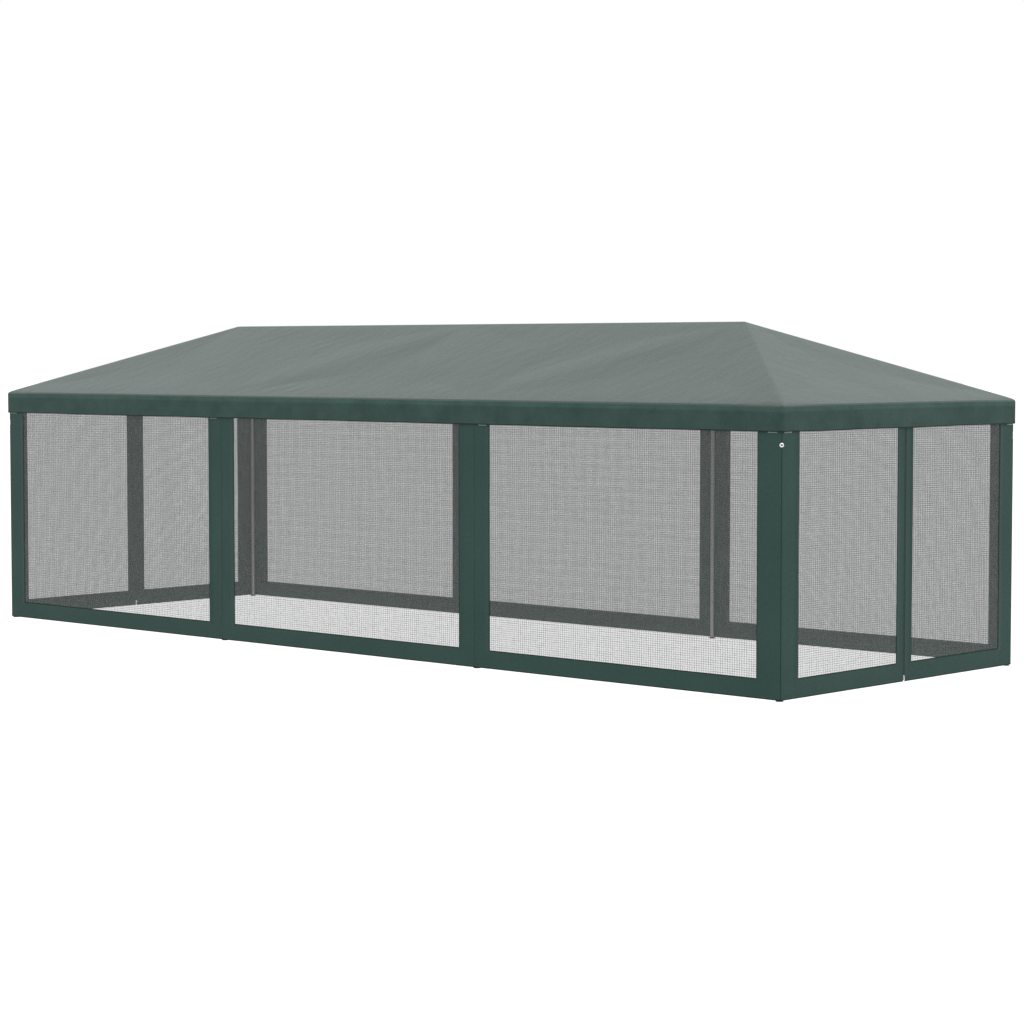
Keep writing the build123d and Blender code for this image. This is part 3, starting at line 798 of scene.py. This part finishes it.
def net_panel(name, u_range, place, mirrored, node, tuck_low=NET_TUCK, tuck_high=NET_TUCK):
    """A panel of netting, tucked behind its border, with a slight slack in its middle."""
    low, high = u_range[0] - tuck_low, u_range[1] + tuck_high
    us = lines(NET_STEP, low, high)
    vs = lines(NET_STEP, NET_BOTTOM - NET_TUCK, NET_TOP + NET_TUCK)
    u, v = (a.ravel() for a in np.meshgrid(us, vs, indexing="ij"))
    across = (u - low) / (high - low)
    up = (v - vs[0]) / (vs[-1] - vs[0])
    belly = np.sin(math.pi * np.clip(across, 0, 1)) ** 0.6 * np.sin(math.pi * np.clip(up, 0, 1)) ** 0.8
    places = np.stack([u, v * 0.6], 1)
    slack = belly * (NET_SLACK + NET_WAVE * waves(places, 0.7, 31) + NET_RIPPLE * waves(places, 0.22, 32))
    points = place(u, v, slack - CLOTH_THICK - NET_BEHIND)
    faces = grid(len(us), len(vs))
    faces = faces[:, ::-1] if mirrored else faces
    obj = piece(name, points, faces, np.stack([u, v], 1))
    obj.data.materials.append(NETTING)
    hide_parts(node)
    return obj, (high - low, vs[-1] - vs[0])


def front_place(sx, sy):
    """Places points given by distance along the near front walls, mirrored to another corner."""

    def place(u, v, out):
        off_corner = np.clip((np.abs(u - CORNER_MIDDLE) - 0.03) / 0.1, 0, 1)
        out = out + wall_sway(u, v) * off_corner * untied(v) + corner_relief(u, v)
        x, y = round_corner(u, out)
        return np.stack([sx * x, sy * y, v], 1)

    return place


def middle_place(sy):
    """Places points of a long wall's middle panel, whose sway meets that of the mirrored panels beside it."""

    def place(u, v, out):
        along = np.sqrt(u**2 + MIDDLE_SOFTNESS**2 * (1 - (u / JOINT_X) ** 2))
        out = out + wall_sway(along, v) * untied(v)
        return np.stack([u, sy * (-WALL_Y - out), v], 1)

    return place


def long_wall_panel(row, bay, us, holes, seams, place, mirrored):
    """One panel of a long wall: its bands, and the netting in the first of its holes."""
    border = wall_border(f"bands_{row}_{bay}", us, holes, seams, place, mirrored, f"wall_border_{row}_{bay}")
    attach(border, "frame")
    hole = holes[0]
    net, flat = net_panel(f"netting_{row}_{bay}", (hole[0], hole[2]), place, mirrored, f"wall_netting_{row}")
    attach(net, "frame")


def long_walls():
    """The three panels of each long wall; the outer ones turn the corners to the door hinges."""
    corner_hole = (JOINT_X + JOINT_BAND, NET_BOTTOM, CORNER_NET_X, NET_TOP)
    end = CORNER_END + (WALL_Y - CORNER_ROUND - HINGE_Y)
    door_hole = (end, NET_BOTTOM, end + 1.0, NET_TOP)
    corner_us = lines(
        BAND_STEP,
        *hem_marks(JOINT_X, 1),
        *hem_marks(corner_hole[0], -1),
        *hem_marks(corner_hole[2], 1),
        *(CORNER_MIDDLE + np.linspace(-0.5, 0.5, 21) * CORNER_TURN),
        *[CORNER_MIDDLE + d for d in (-0.001, 0, 0.001)],
        *hem_marks(end, -1),
    )
    middle_hole = (-JOINT_X + JOINT_BAND, NET_BOTTOM, JOINT_X - JOINT_BAND, NET_TOP)
    middle_us = lines(
        BAND_STEP,
        *hem_marks(-JOINT_X, 1),
        *hem_marks(middle_hole[0], -1),
        *hem_marks(middle_hole[2], 1),
        *hem_marks(JOINT_X, -1),
    )
    for row, sy in (("front", 1), ("back", -1)):
        for bay, sx in (("near", 1), ("far", -1)):
            holes, seams = [corner_hole, door_hole], [JOINT_X, CORNER_MIDDLE]
            long_wall_panel(row, bay, corner_us, holes, seams, front_place(sx, sy), sx * sy < 0)
        seams = [-JOINT_X, JOINT_X]
        long_wall_panel(row, "middle", middle_us, [middle_hole], seams, middle_place(sy), sy < 0)


# ---------------------------------------------------------------- doors


def door_place(turn):
    """Places points of a door leaf given by Y and height on the near end; turn is -1 at the far end."""

    def place(u, v, out):
        off_zip = np.clip((np.abs(u - ZIP_Y) - 0.02) / 0.1, 0, 1)
        along = CORNER_END + WALL_Y - CORNER_ROUND - np.abs(u)
        out = out + wall_sway(along, v) * off_zip * untied(v)
        return np.stack([turn * (WALL_X + out), turn * u, v], 1)

    return place


def tooth(y, z, side, turn):
    """One turn of the zip's coil: a small rounded bar across the chain, as points and faces."""
    tip, root = -0.0008 * side, 0.0040 * side
    high, deep = 0.00085, 0.00118
    top, front, slant = 0.55, 0.62, 0.38
    ring = [(top, 0.0), (slant, front), (-slant, front), (-top, 0.0), (-slant, -front), (slant, -front)]
    points, faces = [], []
    for across, size in ((tip, 0.55), (tip + 0.0006 * side, 1.0), (root, 1.0)):
        for up, out in ring:
            x = WALL_X - CLOTH_THICK / 2 + out * deep * size / front
            points.append((turn * x, turn * (y + across), z + up * high * size / top))
    sides = len(ring)
    for level in range(2):
        for k in range(sides):
            n = (k + 1) % sides
            a, b = level * sides + k, level * sides + n
            faces.append((a, b, b + sides, a + sides))
    faces += [tuple(range(sides - 1, -1, -1)), tuple(range(2 * sides, 3 * sides))]
    return points, faces


def zip_chain(end, side_name, side, turn):
    """Half of a zip: the row of coil turns that meets the other half's."""
    start = CHAIN_BOTTOM[side_name] + (COIL_PITCH / 2 if side > 0 else 0.0)
    points, faces = [], []
    for z in np.arange(start + COIL_INSET, CHAIN_TOP - COIL_INSET, COIL_PITCH):
        more, links = tooth(ZIP_Y, z, side, turn)
        shift = len(points)
        points += more
        faces += [tuple(i + shift for i in f) for f in links]
    if side < 0:
        faces = [f[::-1] for f in faces]
    chain = piece(f"zip_coil_{end}_{side_name}", points, faces)
    for face in chain.data.polygons:
        face.use_smooth = False
    chain.data.materials.append(COIL_NYLON)
    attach(chain, f"door_{end}_{side_name}")
    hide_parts(f"zip_half_{end}_{side_name}")


def zip_strip(end, side_name, side, turn):
    """The woven tape that holds one row of coil to its leaf, with a rolled edge under the coil."""
    widths = [0.0007, 0.0011, 0.0030, 0.0060, 0.0080, 0.0105, 0.0170]
    rises = [-0.0001, -0.0001, -0.0001, -0.0001, -0.0004, -0.0013, -0.0013]
    vs = lines(0.03, CHAIN_BOTTOM[side_name], CHAIN_BOTTOM[side_name] + 0.004, CHAIN_TOP)
    u, v = (a.ravel() for a in np.meshgrid(widths, vs, indexing="ij"))
    x = WALL_X + np.repeat(rises, len(vs))
    points = np.stack([turn * x, turn * (ZIP_Y + side * u), v], 1)
    faces = grid(len(widths), len(vs))
    faces = faces[:, ::-1] if side < 0 else faces
    strip = piece(f"zip_tape_{end}_{side_name}", points, faces, np.stack([u, v], 1))
    thicken(strip, TAPE_THICK)
    strip.data.materials.append(ZIP_TAPE)
    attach(strip, f"door_{end}_{side_name}")
    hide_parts(f"zip_half_{end}_{side_name}")


def doors():
    """The four door leaves: bands, netting and half a zip each, with a finer grid along the hinge line."""
    for end, turn in (("near", 1), ("far", -1)):
        for side_name, side in (("left", -1), ("right", 1)):
            body = f"door_{end}_{side_name}"
            hinge = side * HINGE_Y
            zip_edge = ZIP_Y + side * ZIP_GAP
            net_edge = zip_edge + side * ZIP_BAND
            low, high = sorted((hinge, net_edge))
            hole = (low, NET_BOTTOM, high, NET_TOP)
            fold = [hinge - side * d for d in np.linspace(0, FOLD_WIDTH, 7)]
            us = lines(BAND_STEP, *fold, *hem_marks(net_edge, -side), *hem_marks(zip_edge, side))
            place = door_place(turn)
            border = wall_border(
                f"bands_{body}", us, [hole], [zip_edge], place, False, f"door_border_{end}_{side_name}"
            )
            hinge_tuck, zip_tuck = 0.0, NET_TUCK
            tucks = (hinge_tuck, zip_tuck) if side < 0 else (zip_tuck, hinge_tuck)
            net, flat = net_panel(
                f"netting_{body}", (low, high), place, False, f"door_netting_{end}_{side_name}", *tucks
            )
            for cloth in (border, net):
                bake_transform(cloth)
            zip_chain(end, side_name, side, turn)
            zip_strip(end, side_name, side, turn)


# ---------------------------------------------------------------- trim


def grommets():
    """Rolled metal rings through the cloth at the four corners."""
    profile = [
        (0.0065, -0.0014), (0.0066, 0.0006), (0.0076, 0.0019), (0.0096, 0.0025), (0.0118, 0.0022),
        (0.0137, 0.0014), (0.0149, 0.0004), (0.0150, -0.0001), (0.0142, -0.0004), (0.0100, -0.0003),
        (0.0076, -0.0004), (0.0072, -0.0014),
    ]
    turns = np.linspace(0, 2 * math.pi, 41)[:-1]
    x, y = (float(a[0]) for a in round_corner(np.array([CORNER_MIDDLE]), np.array([0.0003])))
    points, faces = [], []
    for sx in (1, -1):
        for sy in (1, -1):
            out = np.array([sx, -sy, 0]) / math.sqrt(2)
            side = np.array([sx, sy, 0]) / math.sqrt(2)
            centre = np.array([sx * x, sy * y, EYELET_Z])
            shift = len(points)
            for turn in turns:
                ray = math.cos(turn) * side + math.sin(turn) * np.array([0, 0, 1.0])
                points += [centre + radius * ray + rise * out for radius, rise in profile]
            rim = len(profile)
            for k in range(len(turns)):
                n = (k + 1) % len(turns)
                for m in range(rim):
                    p = (m + 1) % rim
                    face = (k * rim + m, k * rim + p, n * rim + p, n * rim + m)
                    face = face if sx * sy > 0 else face[::-1]
                    faces.append(tuple(i + shift for i in face))
    rings = piece("corner_grommets", points, faces)
    rings.data.materials.append(EYELET_METAL)
    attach(rings, "frame")
    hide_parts("eyelets")


def strap_path():
    """A strap's loop round a beam at the origin, as (out, height), from and to the wall's inside."""
    radius = BEAM_RADIUS + STRAP_THICK
    to_wall = WALL_Y - LEG_Y - CLOTH_THICK - STRAP_GAP
    turns = np.radians(np.linspace(-118, -352, 22))
    loop = [(radius * math.cos(t), radius * math.sin(t)) for t in turns]
    return [(to_wall, -0.038), (to_wall - 0.001, -0.030), *loop, (to_wall - 0.001, -0.0228)]


def ribbon(path, width, place):
    """Points and faces of a flat ribbon along a path of (out, height), laid by place."""
    columns = np.linspace(-0.5, 0.5, 5) * width
    points = [place(out, up, across) for out, up in path for across in columns]
    return points, grid(len(path), len(columns))


def gathered(name, parts, thick):
    """One piece of hook-and-loop tape from several ribbons."""
    points, faces = [], []
    for more, links in parts:
        shift = len(points)
        points += list(more)
        faces += [tuple(int(i) + shift for i in f) for f in links]
    tape = piece(name, points, faces)
    thicken(tape, thick)
    tape.data.materials.append(STRAP_TAPE)
    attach(tape, "frame")
    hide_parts("hook_and_loop_straps")


def straps():
    """The hook-and-loop straps that hold the walls to the eave beams."""
    path, parts = strap_path(), []
    bay = 2 * WALL_X / 3
    for sy in (1, -1):
        for start in (-WALL_X, -JOINT_X, JOINT_X):
            for share in (1, 3, 5):
                at = start + bay * share / 6

                def place(out, up, across, at=at, sy=sy):
                    return (at + across, sy * (-LEG_Y - out), EAVE_Z + up)

                parts.append(ribbon(path, STRAP_WIDTH, place))
    for sx in (1, -1):
        for sy in (1, -1):
            at = sy * (WALL_Y - (WALL_Y - HINGE_Y) * END_STRAP_SHARE)

            def place(out, up, across, at=at, sx=sx):
                return (sx * (LEG_X + out), at + across, EAVE_Z + up)

            parts.append(ribbon(path, STRAP_WIDTH, place))
    gathered("beam_straps", parts, STRAP_THICK)


def tab(at, place):
    """A tab behind the valance, its lower edge curling out a little."""
    columns = np.linspace(0, TAB_WIDTH, 7)
    points = [place(at + c, TAB_BOTTOM + up, curl + TAB_THICK) for up, curl in TAB_CURL for c in columns]
    return points, grid(len(TAB_CURL), len(columns))


def tabs():
    """The hook-and-loop tabs at the band tops, of which a pale strip shows under the valance."""
    parts = []
    for sx in (1, -1):
        for sy in (1, -1):

            def on_front(at, height, out, sx=sx, sy=sy):
                return (sx * at, -sy * (WALL_Y + out), height)

            def on_end(at, height, out, sx=sx, sy=sy):
                return (sx * (WALL_X + out), -sy * at, height)

            parts.append(tab(WALL_X - CORNER_TAB, on_front))
            parts.append(tab(JOINT_X + JOINT_TAB, on_front))
            parts.append(tab(WALL_Y - END_TAB, on_end))
    gathered("valance_tabs", parts, TAB_THICK)


# ---------------------------------------------------------------- the frame's own finishes


def finish_frame():
    """Gives each steel and plastic part of the frame its finish."""
    finishes = {
        "corner_leg": TUBE_STEEL,
        "side_leg": TUBE_STEEL,
        "eave_beam": TUBE_STEEL,
        "rafters": TUBE_STEEL,
        "ridge_tubes": TUBE_STEEL,
        "corner_connector": CONNECTOR_STEEL,
        "side_connector": CONNECTOR_STEEL,
        "peak_connector": CONNECTOR_STEEL,
        "feet": FOOT_PLASTIC,
        "spring_buttons": BUTTON_STEEL,
        "zip_slider": ZIP_METAL,
        "zip_pull": ZIP_METAL,
    }
    for name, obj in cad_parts.items():
        for start, finish in finishes.items():
            if name.startswith(start):
                obj.data.materials.clear()
                obj.data.materials.append(finish)


# ---------------------------------------------------------------- studio


def camera():
    """A long lens that looks along the near front corner, a little down."""
    turn, dip = math.radians(132.71), math.radians(3.442)
    look = Vector((math.cos(dip) * math.cos(turn), math.cos(dip) * math.sin(turn), -math.sin(dip)))
    data = bpy.data.cameras.new("camera")
    data.sensor_width = 36.0
    data.lens = 93.38
    data.clip_end = 500.0
    obj = bpy.data.objects.new("camera", data)
    obj.location = (14.866, -15.593, 2.333)
    obj.rotation_euler = look.to_track_quat("-Z", "Y").to_euler()
    bpy.context.scene.collection.objects.link(obj)
    bpy.context.scene.camera = obj


def area_light(name, place, target, size, power):
    """A round soft lamp, out of the camera's sight."""
    data = bpy.data.lights.new(name, "AREA")
    data.shape = "DISK"
    data.size = size
    data.energy = power
    obj = bpy.data.objects.new(name, data)
    obj.location = place
    obj.rotation_euler = (Vector(target) - Vector(place)).to_track_quat("-Z", "Y").to_euler()
    obj.visible_camera = False
    bpy.context.scene.collection.objects.link(obj)


def floor():
    """A pale floor that glows a little, so that it shows as even white."""
    half = 150.0
    corners = [(-half, -half, 0), (half, -half, 0), (half, half, 0), (-half, half, 0)]
    ground = piece("floor", corners, [(0, 1, 2, 3)])
    pale = Finish("floor", 0.9)
    pale.shader.inputs["Base Color"].default_value = (0.06, 0.06, 0.06, 1)
    pale.shader.inputs["Specular IOR Level"].default_value = 0.0
    pale.shader.inputs["Emission Color"].default_value = (1, 1, 1, 1)
    pale.shader.inputs["Emission Strength"].default_value = 1.18
    ground.data.materials.append(pale.material)


def studio():
    """A white room: a pale floor, an even white surround, and two large soft lamps."""
    scene = bpy.context.scene
    scene.view_settings.view_transform = "Standard"
    world = bpy.data.worlds.new("surround")
    world.use_nodes = True
    world.node_tree.nodes["Background"].inputs["Color"].default_value = (1, 1, 1, 1)
    world.node_tree.nodes["Background"].inputs["Strength"].default_value = 1.0
    scene.world = world
    floor()
    middle = (0, 0, 1.5)
    area_light("key", place=(16, -7, 12), target=middle, size=9.0, power=1000)
    area_light("fill", place=(-10, -14, 9), target=middle, size=10.0, power=300)


camera()
canopy()
long_walls()
doors()
grommets()
straps()
tabs()
finish_frame()
studio()
